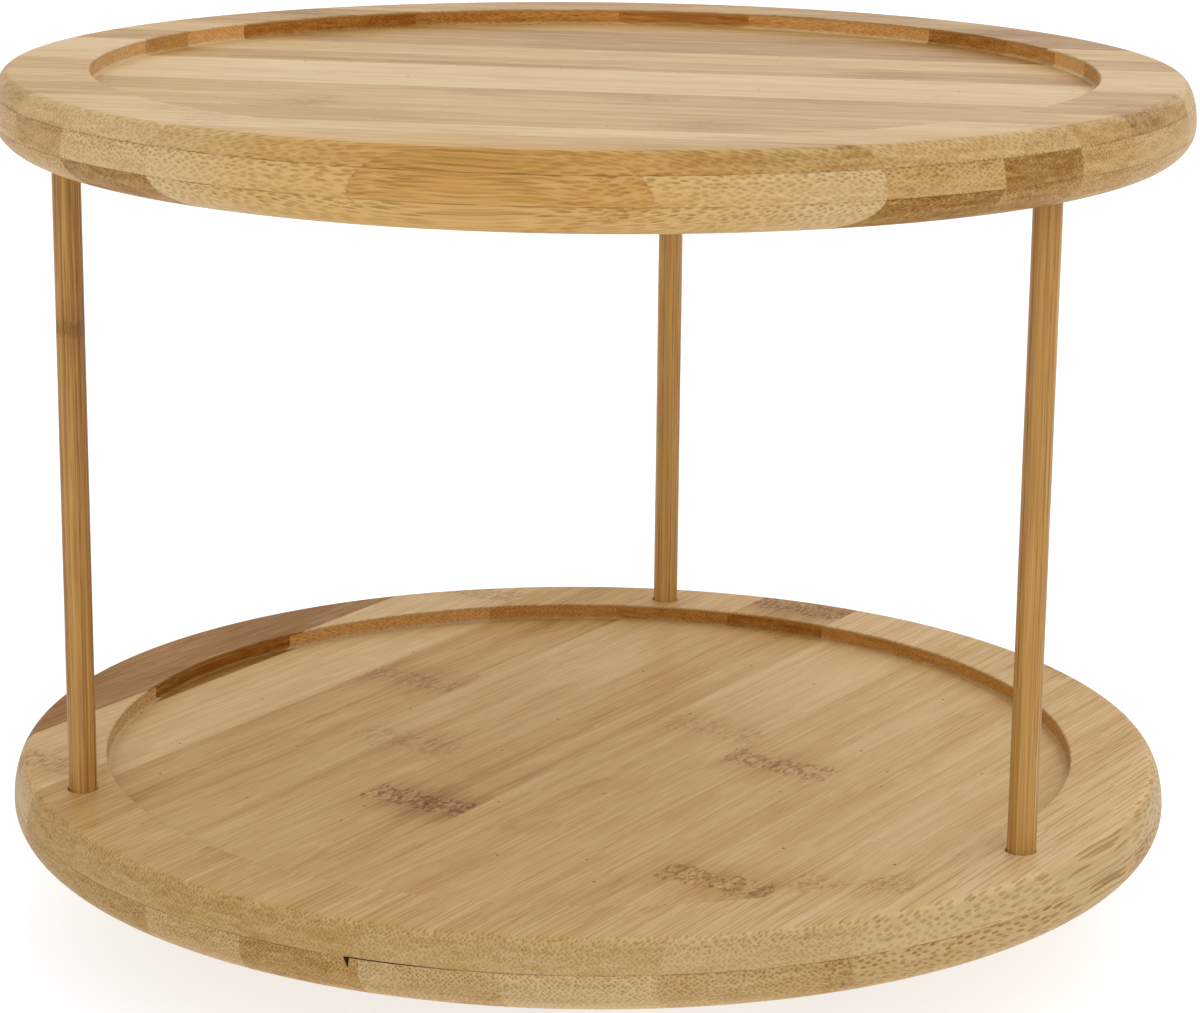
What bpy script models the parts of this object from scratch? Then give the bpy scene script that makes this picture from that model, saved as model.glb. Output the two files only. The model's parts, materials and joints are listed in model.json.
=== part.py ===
"""Two-tier lazy susan turntable in laminated bamboo, on a pressed steel ball bearing.

Metres, +Z up. The turning axis is Z, and the rubber feet stand on z = 0.
"""

import math

import bmesh
import bpy
from mathutils import Matrix, Vector

MM = 0.001
GAP = 0.3 * MM  # clearance between pieces that touch
CUT_PAST = 2 * MM  # how far a cutter runs out past the face it opens

# Trays
TRAY_RADIUS = 127 * MM
TRAY_THICK = 16 * MM
TIER_PITCH = 150 * MM  # from one tray's top face to the other's
RECESS_RADIUS = 106.7 * MM
RECESS_DEPTH = 3.6 * MM
COVE_RADIUS = 0.8 * MM  # fillet between the recess wall and its floor
LIP_ROUND = 0.5 * MM  # eased edge at the top of the recess wall
EDGE_TOP = (3.8 * MM, 8.8 * MM)  # quarter ellipse over the widest line: width, height
EDGE_BOTTOM = (8.5 * MM, 7.2 * MM)  # quarter ellipse under it

# Posts
POST_RADIUS = 3.0 * MM
POST_CIRCLE = 114.5 * MM
POST_HOLE_DEPTH = 10 * MM
POST_CHAMFER = 0.5 * MM
POST_ANGLES = {"post_back": 90, "post_left": 210, "post_right": 330}

# Foot disc and rubber feet
BASE_RADIUS = 76 * MM
BASE_THICK = 8 * MM
BASE_ROUND = 2 * MM
FOOT_COUNT = 6
FOOT_CIRCLE = 66 * MM
FOOT_RADIUS = 6 * MM
FOOT_HEIGHT = 2.7 * MM

# Ball bearing
SHEET = 1.0 * MM
BALL_RADIUS = 2.0 * MM
BALL_PLAY = 0.2 * MM
BALL_COUNT = 24
BALL_CIRCLE = 39 * MM
RIDGE_HEIGHT = 1.0 * MM
RIDGE_OFFSETS = (1.6 * MM, 2.6 * MM, 3.8 * MM, 4.8 * MM)  # foot, crest, crest, foot
LOWER_PLATE_RADIUS = 61 * MM
UPPER_PLATE_RADIUS = 53 * MM
HUB_RADIUS = 12.5 * MM
HUB_FLARE = 17.2 * MM
HUB_BEND = 1.3 * MM
HUB_DROP = 0.1 * MM  # how far the flare sits below the upper plate's middle plane
LIP_DROP = 1.4 * MM
LIP_INNER = 14.8 * MM
LIP_OUTER = 19.5 * MM
CAGE_WIDTH = 7.6 * MM
CAGE_THICK = 1.0 * MM
POCKET_RADIUS = 2.35 * MM

# Screws
SCREW_COUNT = 4
SCREW_LENGTH = 7.5 * MM
SCREW_RADIUS = 1.5 * MM
SCREW_HEAD = (2.8 * MM, 1.7 * MM)
CROSS_SLOT = (3.2 * MM, 0.7 * MM, 1.0 * MM)  # length, width, depth of the recess
PILOT_RADIUS = 1.85 * MM
PILOT_DEPTH = SCREW_LENGTH - SHEET - GAP
PLATE_HOLE_RADIUS = 2.0 * MM
BASE_SCREW_CIRCLE = 56.5 * MM
BASE_SCREW_START = 45
TRAY_SCREW_CIRCLE = 48 * MM
TRAY_SCREW_START = 0
ACCESS_ANGLE = 270
ACCESS_BASE_RADIUS = 5.5 * MM
ACCESS_PLATE_RADIUS = 3.5 * MM

# Heights of the stack, from the ground up
BASE_BOTTOM = FOOT_HEIGHT + GAP
BASE_TOP = BASE_BOTTOM + BASE_THICK
LOWER_PLATE_MID = BASE_TOP + GAP + SHEET / 2
BALL_HEIGHT = LOWER_PLATE_MID + SHEET / 2 + BALL_PLAY + BALL_RADIUS
UPPER_PLATE_MID = BALL_HEIGHT + BALL_RADIUS + BALL_PLAY + SHEET / 2
LOWER_TRAY_BOTTOM = UPPER_PLATE_MID + SHEET / 2 + GAP
UPPER_TRAY_BOTTOM = LOWER_TRAY_BOTTOM + TIER_PITCH
POST_BOTTOM = LOWER_TRAY_BOTTOM + TRAY_THICK - POST_HOLE_DEPTH + GAP
POST_TOP = UPPER_TRAY_BOTTOM + POST_HOLE_DEPTH - GAP

# Facets round each turned piece
TRAY_STEPS = 64
BASE_STEPS = 40
PLATE_STEPS = 32
SMALL_STEPS = 12
POST_STEPS = 20

PARTS = "lazy_susan_turntable"
CUTTERS = "cutters"


def clear_scene():
    for obj in list(bpy.data.objects):
        bpy.data.objects.remove(obj, do_unlink=True)


def collection(name):
    made = bpy.data.collections.new(name)
    bpy.context.scene.collection.children.link(made)
    return made


def material(name, colour, roughness, metallic=0.0):
    made = bpy.data.materials.new(name)
    made.use_nodes = True
    shader = made.node_tree.nodes["Principled BSDF"]
    shader.inputs["Base Color"].default_value = (*colour, 1.0)
    shader.inputs["Roughness"].default_value = roughness
    shader.inputs["Metallic"].default_value = metallic
    made.diffuse_color = (*colour, 1.0)
    return made


def on_circle(radius, degrees, z):
    angle = math.radians(degrees)
    return Vector((radius * math.cos(angle), radius * math.sin(angle), z))


def arc(centre, size, start, end, count):
    """Points on an ellipse from one angle to another, both ends included, in degrees."""
    points = []
    for i in range(count):
        angle = math.radians(start + (end - start) * i / (count - 1))
        points.append((centre[0] + size[0] * math.cos(angle), centre[1] + size[1] * math.sin(angle)))
    return points


def add_object(name, mesh, group, location=(0, 0, 0), parent=None):
    obj = bpy.data.objects.new(name, mesh)
    bpy.data.collections[group].objects.link(obj)
    obj.location = location
    if parent:
        obj.parent = parent
        obj.location = Vector(location) - parent.location
    return obj


def add_axis(name, height):
    """An empty on the turning axis, which moving pieces are parented to."""
    empty = bpy.data.objects.new(name, None)
    empty.location = (0, 0, height)
    empty.empty_display_size = 20 * MM
    bpy.data.collections[PARTS].objects.link(empty)
    return empty


def outline_mesh(name, outline, is_closed=False):
    """The half section of a turned piece: edges only, in the XZ plane."""
    mesh = bpy.data.meshes.new(name)
    edges = [(i, i + 1) for i in range(len(outline) - 1)]
    if is_closed:
        edges.append((len(outline) - 1, 0))
    mesh.from_pydata([(r, 0, z) for r, z in outline], edges, [])
    return mesh


def spin(obj, steps):
    screw = obj.modifiers.new("Turned", "SCREW")
    screw.axis = "Z"
    screw.angle = 2 * math.pi
    screw.steps = steps
    screw.render_steps = steps
    screw.use_merge_vertices = True
    screw.merge_threshold = 0.00002
    screw.use_smooth_shade = True


def turned(name, outline, steps, mat, location=(0, 0, 0), parent=None, is_closed=False):
    """A turned solid. Its outline runs down the outer side, from top to bottom."""
    obj = add_object(name, outline_mesh(name, outline, is_closed), PARTS, location, parent)
    spin(obj, steps)
    obj.data.materials.append(mat)
    return obj


def pressed_sheet(name, line, steps, mat, location, parent=None):
    """A turned piece of sheet metal, from the middle line of its half section."""
    obj = turned(name, line, steps, mat, location, parent)
    solid = obj.modifiers.new("Sheet", "SOLIDIFY")
    solid.thickness = SHEET
    solid.offset = 0
    solid.use_even_offset = True
    return obj


def drill(target, label, place, radius, bottom, top, steps=SMALL_STEPS):
    """Bores a vertical hole at a place, between two world heights."""
    mesh = bpy.data.meshes.new(label)
    shape = bmesh.new()
    bmesh.ops.create_cone(
        shape, cap_ends=True, segments=steps, radius1=radius, radius2=radius, depth=top - bottom
    )
    shape.to_mesh(mesh)
    shape.free()
    cutter = add_object(label, mesh, CUTTERS, (place.x, place.y, (top + bottom) / 2))
    subtract(target, cutter)


def subtract(target, cutter):
    cutter.hide_render = True
    cutter.display_type = "WIRE"
    cut = target.modifiers.new(cutter.name, "BOOLEAN")
    cut.operation = "DIFFERENCE"
    cut.solver = "EXACT"
    cut.object = cutter


def frozen_mesh(obj):
    """The object's mesh with its modifiers applied. The object itself is removed."""
    bpy.context.view_layer.update()
    graph = bpy.context.evaluated_depsgraph_get()
    mesh = bpy.data.meshes.new_from_object(obj.evaluated_get(graph))
    mesh.name = obj.name
    bpy.data.objects.remove(obj, do_unlink=True)
    return mesh


def smooth(obj, degrees=35):
    obj.data.shade_smooth()
    obj.data.set_sharp_from_angle(angle=math.radians(degrees))


def tray_outline():
    """Half section of a tray, with its underside on z = 0."""
    floor = TRAY_THICK - RECESS_DEPTH
    cove = (RECESS_RADIUS - COVE_RADIUS, floor + COVE_RADIUS)
    lip = (RECESS_RADIUS + LIP_ROUND, TRAY_THICK - LIP_ROUND)
    over = (TRAY_RADIUS - EDGE_TOP[0], TRAY_THICK - EDGE_TOP[1])
    under = (TRAY_RADIUS - EDGE_BOTTOM[0], EDGE_BOTTOM[1])
    outline = [(0, floor)]
    outline += arc(cove, (COVE_RADIUS, COVE_RADIUS), -90, 0, 4)
    outline += arc(lip, (LIP_ROUND, LIP_ROUND), 180, 90, 3)
    outline += arc(over, EDGE_TOP, 90, 0, 6)
    outline += arc(under, EDGE_BOTTOM, 0, -90, 5)[1:]
    outline.append((0, 0))
    return outline


def make_trays(mat, parent):
    trays = {}
    for name, bottom in (("lower_tray", LOWER_TRAY_BOTTOM), ("upper_tray", UPPER_TRAY_BOTTOM)):
        trays[name] = turned(name, tray_outline(), TRAY_STEPS, mat, (0, 0, bottom), parent)
    hole = POST_RADIUS + GAP
    for name, angle in POST_ANGLES.items():
        place = on_circle(POST_CIRCLE, angle, 0)
        face = LOWER_TRAY_BOTTOM + TRAY_THICK
        drill(trays["lower_tray"], "socket_lower_" + name, place, hole,
              face - POST_HOLE_DEPTH, face + CUT_PAST, POST_STEPS)
        face = UPPER_TRAY_BOTTOM
        drill(trays["upper_tray"], "socket_upper_" + name, place, hole,
              face - CUT_PAST, face + POST_HOLE_DEPTH, POST_STEPS)
    for i in range(SCREW_COUNT):
        place = on_circle(TRAY_SCREW_CIRCLE, TRAY_SCREW_START + 360 * i / SCREW_COUNT, 0)
        drill(trays["lower_tray"], f"pilot_tray_{i + 1}", place, PILOT_RADIUS,
              LOWER_TRAY_BOTTOM - CUT_PAST, LOWER_TRAY_BOTTOM + PILOT_DEPTH)


def make_posts(mat, parent):
    half = (POST_TOP - POST_BOTTOM) / 2
    cut = POST_CHAMFER
    outline = [(0, half), (POST_RADIUS - cut, half), (POST_RADIUS, half - cut)]
    outline += [(r, -z) for r, z in reversed(outline)]
    for name, angle in POST_ANGLES.items():
        place = on_circle(POST_CIRCLE, angle, POST_BOTTOM + half)
        turned(name, outline, POST_STEPS, mat, place, parent)


def make_base_disc(mat):
    inner = BASE_RADIUS - BASE_ROUND
    size = (BASE_ROUND, BASE_ROUND)
    outline = [(0, BASE_THICK)]
    outline += arc((inner, BASE_THICK - BASE_ROUND), size, 90, 0, 3)
    outline += arc((inner, BASE_ROUND), size, 0, -90, 3)
    outline.append((0, 0))
    disc = turned("base_disc", outline, BASE_STEPS, mat, (0, 0, BASE_BOTTOM))
    access = on_circle(TRAY_SCREW_CIRCLE, ACCESS_ANGLE, 0)
    drill(disc, "access_base", access, ACCESS_BASE_RADIUS, BASE_BOTTOM - CUT_PAST,
          BASE_TOP + CUT_PAST, 16)
    for i in range(SCREW_COUNT):
        place = on_circle(BASE_SCREW_CIRCLE, BASE_SCREW_START + 360 * i / SCREW_COUNT, 0)
        drill(disc, f"pilot_base_{i + 1}", place, PILOT_RADIUS, BASE_TOP - PILOT_DEPTH,
              BASE_TOP + CUT_PAST)


def groove(side):
    """Two pressed ridges that guide the balls between them. side is +1 for up and -1 for down."""
    line = []
    for sign, offsets in ((1, reversed(RIDGE_OFFSETS)), (-1, RIDGE_OFFSETS)):
        for offset in offsets:
            is_crest = offset in RIDGE_OFFSETS[1:3]
            line.append((BALL_CIRCLE + sign * offset, side * RIDGE_HEIGHT if is_crest else 0.0))
    return line


def drill_plate(plate, label, count, circle, start, middle):
    for i in range(count):
        place = on_circle(circle, start + 360 * i / count, 0)
        drill(plate, f"{label}_{i + 1}", place, PLATE_HOLE_RADIUS, middle - CUT_PAST,
              middle + CUT_PAST)


def make_lower_plate(mat):
    """The fixed half of the bearing. Its hub passes through the upper plate and flares over it."""
    flare = UPPER_PLATE_MID - LOWER_PLATE_MID - HUB_DROP
    line = [(LOWER_PLATE_RADIUS, 0)] + groove(1)
    line += [(HUB_RADIUS + HUB_BEND, 0), (HUB_RADIUS, HUB_BEND)]
    line += [(HUB_RADIUS, flare - HUB_BEND), (HUB_RADIUS + HUB_BEND, flare), (HUB_FLARE, flare)]
    plate = pressed_sheet("bearing_lower_plate", line, PLATE_STEPS, mat, (0, 0, LOWER_PLATE_MID))
    drill_plate(plate, "hole_lower_plate", SCREW_COUNT, BASE_SCREW_CIRCLE, BASE_SCREW_START,
                LOWER_PLATE_MID)
    access = on_circle(TRAY_SCREW_CIRCLE, ACCESS_ANGLE, 0)
    drill(plate, "access_lower_plate", access, ACCESS_PLATE_RADIUS, LOWER_PLATE_MID - CUT_PAST,
          LOWER_PLATE_MID + CUT_PAST)


def make_upper_plate(mat, parent):
    """The turning half of the bearing, with a dished lip that the hub's flare holds down."""
    line = [(UPPER_PLATE_RADIUS, 0)] + groove(-1)
    line += [(LIP_OUTER + 2 * MM, 0), (LIP_OUTER, -LIP_DROP), (LIP_INNER, -LIP_DROP)]
    place = (0, 0, UPPER_PLATE_MID)
    plate = pressed_sheet("bearing_upper_plate", line, PLATE_STEPS, mat, place, parent)
    drill_plate(plate, "hole_upper_plate", SCREW_COUNT, TRAY_SCREW_CIRCLE, TRAY_SCREW_START,
                UPPER_PLATE_MID)


def make_cage(mat, parent):
    inner = BALL_CIRCLE - CAGE_WIDTH / 2
    outer = BALL_CIRCLE + CAGE_WIDTH / 2
    half = CAGE_THICK / 2
    outline = [(inner, half), (outer, half), (outer, -half), (inner, -half)]
    place = (0, 0, BALL_HEIGHT)
    cage = turned("ball_cage", outline, PLATE_STEPS, mat, place, parent, is_closed=True)
    pockets = bmesh.new()
    for i in range(BALL_COUNT):
        at = on_circle(BALL_CIRCLE, 360 * i / BALL_COUNT, 0)
        bmesh.ops.create_cone(
            pockets, cap_ends=True, segments=10, radius1=POCKET_RADIUS, radius2=POCKET_RADIUS,
            depth=4 * CAGE_THICK, matrix=Matrix.Translation(at)
        )
    mesh = bpy.data.meshes.new("ball_pockets")
    pockets.to_mesh(mesh)
    pockets.free()
    subtract(cage, add_object("ball_pockets", mesh, CUTTERS, place))


def make_balls(mat, parent):
    shape = bmesh.new()
    bmesh.ops.create_uvsphere(shape, u_segments=10, v_segments=6, radius=BALL_RADIUS)
    mesh = bpy.data.meshes.new("bearing_ball")
    shape.to_mesh(mesh)
    shape.free()
    mesh.materials.append(mat)
    mesh.shade_smooth()
    for i in range(BALL_COUNT):
        place = on_circle(BALL_CIRCLE, 360 * i / BALL_COUNT, BALL_HEIGHT)
        add_object(f"bearing_ball_{i + 1:02d}", mesh, PARTS, place, parent)


def screw_mesh(mat):
    """A pan head screw that hangs down from z = 0, the underside of its head."""
    radius, height = SCREW_HEAD
    outline = [(0, height)] + arc((0, 0), (radius, height), 70, 0, 4)
    outline += [(SCREW_RADIUS, 0), (SCREW_RADIUS, -SCREW_LENGTH + 2 * MM)]
    outline += [(0.4 * MM, -SCREW_LENGTH), (0, -SCREW_LENGTH)]
    screw = turned("screw", outline, SMALL_STEPS, mat)
    length, width, depth = CROSS_SLOT
    slots = []
    for name, size in (("slot_x", (length, width)), ("slot_y", (width, length))):
        shape = bmesh.new()
        scale = Matrix.Diagonal((size[0], size[1], 2 * depth, 1))
        bmesh.ops.create_cube(shape, size=1, matrix=Matrix.Translation((0, 0, height)) @ scale)
        mesh = bpy.data.meshes.new(name)
        shape.to_mesh(mesh)
        shape.free()
        slots.append(add_object(name, mesh, CUTTERS))
        subtract(screw, slots[-1])
    made = frozen_mesh(screw)
    for slot in slots:
        bpy.data.objects.remove(slot, do_unlink=True)
    return made


def make_screws(mat, parent):
    mesh = screw_mesh(mat)
    for i in range(SCREW_COUNT):
        seat = LOWER_PLATE_MID + SHEET / 2 + GAP
        place = on_circle(BASE_SCREW_CIRCLE, BASE_SCREW_START + 360 * i / SCREW_COUNT, seat)
        smooth(add_object(f"base_screw_{i + 1}", mesh, PARTS, place))
    for i in range(SCREW_COUNT):
        seat = UPPER_PLATE_MID - SHEET / 2 - GAP
        place = on_circle(TRAY_SCREW_CIRCLE, TRAY_SCREW_START + 360 * i / SCREW_COUNT, seat)
        screw = add_object(f"tray_screw_{i + 1}", mesh, PARTS, place, parent)
        screw.rotation_euler = (math.pi, 0, 0)


def make_feet(mat):
    side = 0.6 * MM  # how much the side tapers in towards the ground
    top = FOOT_HEIGHT
    outline = [(0, top), (FOOT_RADIUS, top), (FOOT_RADIUS, top - side)]
    outline += arc((FOOT_RADIUS - side - 0.8 * MM, 0.8 * MM), (0.8 * MM, 0.8 * MM), 0, -90, 3)
    outline.append((0, 0))
    mesh = frozen_mesh(turned("foot", outline, 16, mat))
    for i in range(FOOT_COUNT):
        place = on_circle(FOOT_CIRCLE, 30 + 360 * i / FOOT_COUNT, 0)
        smooth(add_object(f"foot_{i + 1}", mesh, PARTS, place))


def main():
    clear_scene()
    collection(PARTS)
    collection(CUTTERS)
    turntable = add_axis("turntable_axis", LOWER_TRAY_BOTTOM)
    ball_ring = add_axis("ball_ring_axis", BALL_HEIGHT)

    tray_bamboo = material("tray_bamboo", (0.66, 0.45, 0.24), 0.42)
    post_bamboo = material("post_bamboo", (0.52, 0.29, 0.11), 0.45)
    base_bamboo = material("base_bamboo", (0.62, 0.42, 0.22), 0.55)
    plated_steel = material("plated_steel", (0.62, 0.62, 0.60), 0.34, 1.0)
    ball_steel = material("ball_steel", (0.70, 0.70, 0.70), 0.12, 1.0)
    cage_nylon = material("cage_nylon", (0.82, 0.80, 0.74), 0.5)
    screw_steel = material("screw_steel", (0.55, 0.53, 0.48), 0.3, 1.0)
    foot_rubber = material("foot_rubber", (0.03, 0.03, 0.03), 0.8)

    make_trays(tray_bamboo, turntable)
    make_posts(post_bamboo, turntable)
    make_base_disc(base_bamboo)
    make_lower_plate(plated_steel)
    make_upper_plate(plated_steel, turntable)
    make_cage(cage_nylon, ball_ring)
    make_balls(ball_steel, ball_ring)
    make_screws(screw_steel, turntable)
    make_feet(foot_rubber)


main()
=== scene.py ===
"""Looks of the two-tier bamboo turntable: detailed pieces, materials, light and camera.

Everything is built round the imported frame, in metres, +Z up, with the turning axis on Z.
"""

import json
import math
from dataclasses import dataclass

import bmesh
import bpy
from mathutils import Matrix, Vector, noise


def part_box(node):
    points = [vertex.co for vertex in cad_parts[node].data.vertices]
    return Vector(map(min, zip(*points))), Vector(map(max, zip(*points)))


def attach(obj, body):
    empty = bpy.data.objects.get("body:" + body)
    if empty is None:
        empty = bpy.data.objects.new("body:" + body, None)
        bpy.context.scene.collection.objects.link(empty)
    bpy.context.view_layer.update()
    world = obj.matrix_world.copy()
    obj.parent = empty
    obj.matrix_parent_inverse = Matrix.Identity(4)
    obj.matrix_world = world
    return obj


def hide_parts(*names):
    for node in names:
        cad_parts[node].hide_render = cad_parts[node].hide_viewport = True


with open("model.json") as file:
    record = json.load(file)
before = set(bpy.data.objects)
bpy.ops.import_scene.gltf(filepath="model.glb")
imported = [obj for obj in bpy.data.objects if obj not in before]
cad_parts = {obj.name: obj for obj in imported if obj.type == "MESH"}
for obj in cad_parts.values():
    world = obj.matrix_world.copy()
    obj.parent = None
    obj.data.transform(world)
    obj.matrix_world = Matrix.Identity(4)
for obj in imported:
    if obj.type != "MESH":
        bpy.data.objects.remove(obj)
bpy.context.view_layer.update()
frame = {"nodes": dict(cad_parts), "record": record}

MM = 0.001
BODY_OF = {n: body for body, names in frame["record"]["behaviour"]["bodies"].items() for n in names}

# Trays
RECESS_RADIUS = 106.7 * MM
RECESS_DEPTH = 3.6 * MM
COVE_RADIUS = 0.8 * MM
LIP_ROUND = 0.5 * MM
EDGE_TOP = (3.8 * MM, 8.8 * MM)
EDGE_BOTTOM = (8.5 * MM, 7.2 * MM)
SOCKET_RADIUS = 3.13 * MM
SOCKET_DEPTH = 10 * MM
SOCKET_CHAMFER = 0.12 * MM
PILOT_RADIUS = 1.85 * MM
POST_CHAMFER = 0.5 * MM

# Each dowel, with the height of its culm node in mm and its tone. The last two nodes lie past the ends.
POSTS = (("post_left", 134, 0.6), ("post_back", 250, 0.3), ("post_right", 20, 0.5))

# Base and bearing
BASE_ROUND = 2 * MM
SHEET = 1.0 * MM
SHEET_BEND = 0.9 * MM
BALL_CIRCLE = 39 * MM
BALL_RADIUS = 2 * MM
RIDGE_HEIGHT = 1.0 * MM
RIDGE_OFFSETS = (1.6 * MM, 2.6 * MM, 3.8 * MM, 4.8 * MM)
HUB_RADIUS = 12.5 * MM
HUB_FLARE = 17.2 * MM
HUB_BEND = 1.3 * MM
LIP_DROP = 1.4 * MM
LIP_INNER = 14.8 * MM
LIP_OUTER = 19.5 * MM
POCKET_RADIUS = 2.35 * MM
PLATE_HOLE_RADIUS = 2.0 * MM
ACCESS_BASE_RADIUS = 5.5 * MM
ACCESS_PLATE_RADIUS = 3.5 * MM
CAGE_CHAMFER = 0.15 * MM

# Screws
SCREW_DEPTH = 6.2 * MM
HEAD_RADIUS = 2.8 * MM
HEAD_HEIGHT = 1.7 * MM
HEAD_CHAMFER = 0.15 * MM
SHANK_RADIUS = 1.5 * MM
SHANK_LENGTH = 0.8 * MM
THREAD_CORE = 1.05 * MM
THREAD_PITCH = 0.9 * MM
TIP_LENGTH = 1.6 * MM
CROSS_SLOT = (3.2 * MM, 0.7 * MM, 1.0 * MM)  # length, width and depth

# Feet
FOOT_SIDE = 0.6 * MM  # height of the upright side, and how far the foot narrows below it
FOOT_ROUND = 0.8 * MM
FOOT_DIMPLE_RADIUS = 3.2 * MM
FOOT_DIMPLE_DEPTH = 0.15 * MM

# Mesh density
TRAY_SEGMENTS = 288
DISC_SEGMENTS = 192
PLATE_SEGMENTS = 160
ROD_SEGMENTS = 64
HOLE_SEGMENTS = 48
SMALL_SEGMENTS = 32
BALL_SEGMENTS = 28
PILOT_SEGMENTS = 24
EASE = 0.25 * MM  # from a curve to the first ring on the flat face beside it
RING_GAP = 4 * MM  # from the curve to the second ring
CUT_PAST = 2 * MM  # how far a cutter reaches past the face it opens

# Stage and light
FLOOR_REACH = 6.0
FLOOR_DROP = 0.2 * MM
FLOOR_GREY = (0.35, 0.35, 0.35, 1.0)
FLOOR_GLOW = 0.72
WORLD_STRENGTH = 0.85
SUN_SPREAD = 60  # apparent width of each light, in degrees
WHITE = (1.0, 1.0, 1.0, 1.0)

# Camera, in the photo's viewing direction
VIEW_AZIMUTH = 9.63
VIEW_DISTANCE = 748 * MM  # level distance from the turning axis
VIEW_HEIGHT = 277 * MM
VIEW_PITCH = 14.27
VIEW_YAW = 0.15
VIEW_ROLL = 0.57
VIEW_LENS = 105.3


# ---------------------------------------------------------------- mesh tools


def arc(centre, size, start, end, count):
    """Points on an ellipse from one angle to another, both ends included, in degrees."""
    points = []
    for i in range(count):
        angle = math.radians(start + (end - start) * i / (count - 1))
        points.append((centre[0] + size[0] * math.cos(angle), centre[1] + size[1] * math.sin(angle)))
    return points


def flat(height, *radii):
    """Points at one height."""
    return [(radius, height) for radius in radii]


def middle(node):
    low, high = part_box(node)
    return (low + high) / 2


def add_mesh(name, mesh_maker):
    mesh = bpy.data.meshes.new(name)
    shape = bmesh.new()
    mesh_maker(shape)
    bmesh.ops.recalc_face_normals(shape, faces=shape.faces)
    shape.to_mesh(mesh)
    shape.free()
    obj = bpy.data.objects.new(name, mesh)
    bpy.context.scene.collection.objects.link(obj)
    return obj


def lathe_into(shape, outline, segments, centre=(0, 0), is_closed=False):
    """Turns an outline of (radius, height) round a vertical line. Points on the line become one vertex."""
    rings = []
    for radius, height in outline:
        if radius < 1e-7:
            rings.append([shape.verts.new((centre[0], centre[1], height))])
            continue
        ring = []
        for i in range(segments):
            angle = 2 * math.pi * i / segments
            x = centre[0] + radius * math.cos(angle)
            y = centre[1] + radius * math.sin(angle)
            ring.append(shape.verts.new((x, y, height)))
        rings.append(ring)
    pairs = list(zip(rings, rings[1:]))
    if is_closed:
        pairs.append((rings[-1], rings[0]))
    for upper, lower in pairs:
        for i in range(segments):
            j = (i + 1) % segments
            if len(upper) == 1:
                shape.faces.new((upper[0], lower[j], lower[i]))
            elif len(lower) == 1:
                shape.faces.new((upper[i], upper[j], lower[0]))
            else:
                shape.faces.new((upper[i], upper[j], lower[j], lower[i]))


def lathe(name, outline, segments, centre=(0, 0), is_closed=False):
    return add_mesh(name, lambda shape: lathe_into(shape, outline, segments, centre, is_closed))


def settle(obj):
    """Replaces the object's mesh with its evaluated one, and clears its modifiers."""
    bpy.context.view_layer.update()
    graph = bpy.context.evaluated_depsgraph_get()
    made = bpy.data.meshes.new_from_object(obj.evaluated_get(graph))
    old = obj.data
    obj.modifiers.clear()
    obj.data = made
    bpy.data.meshes.remove(old)


def cut_away(obj, cutter, name):
    """Takes the cutter's shape out of the object, and removes the cutter."""
    cut = obj.modifiers.new(name, "BOOLEAN")
    cut.operation = "DIFFERENCE"
    cut.solver = "EXACT"
    cut.object = cutter
    settle(obj)
    bpy.data.objects.remove(cutter, do_unlink=True)


def bore(obj, places, radius, bottom, top, segments=HOLE_SEGMENTS, chamfer=0.0):
    """Cuts vertical round holes at the places given, with an optional chamfer at both ends."""
    if chamfer:
        outline = [(0, top + chamfer), (radius + 2 * chamfer, top + chamfer), (radius, top - chamfer)]
        outline += [(radius, bottom), (0, bottom)]
    else:
        outline = [(0, top), (radius, top), (radius, bottom), (0, bottom)]

    def build(shape):
        for place in places:
            lathe_into(shape, outline, segments, (place.x, place.y))

    cut_away(obj, add_mesh("cutter", build), "bore")


def finish_shading(obj, degrees=32):
    obj.data.shade_smooth()
    obj.data.set_sharp_from_angle(angle=math.radians(degrees))
    weighted = obj.modifiers.new("flat faces stay flat", "WEIGHTED_NORMAL")
    weighted.keep_sharp = True
    weighted.weight = 100
    settle(obj)


def stands_for(piece, node, material):
    """The piece takes its CAD node's place, body and material slot."""
    piece.data.materials.clear()
    piece.data.materials.append(material)
    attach(piece, BODY_OF[node])
    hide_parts(node)


# ---------------------------------------------------------------- shader tools


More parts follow.
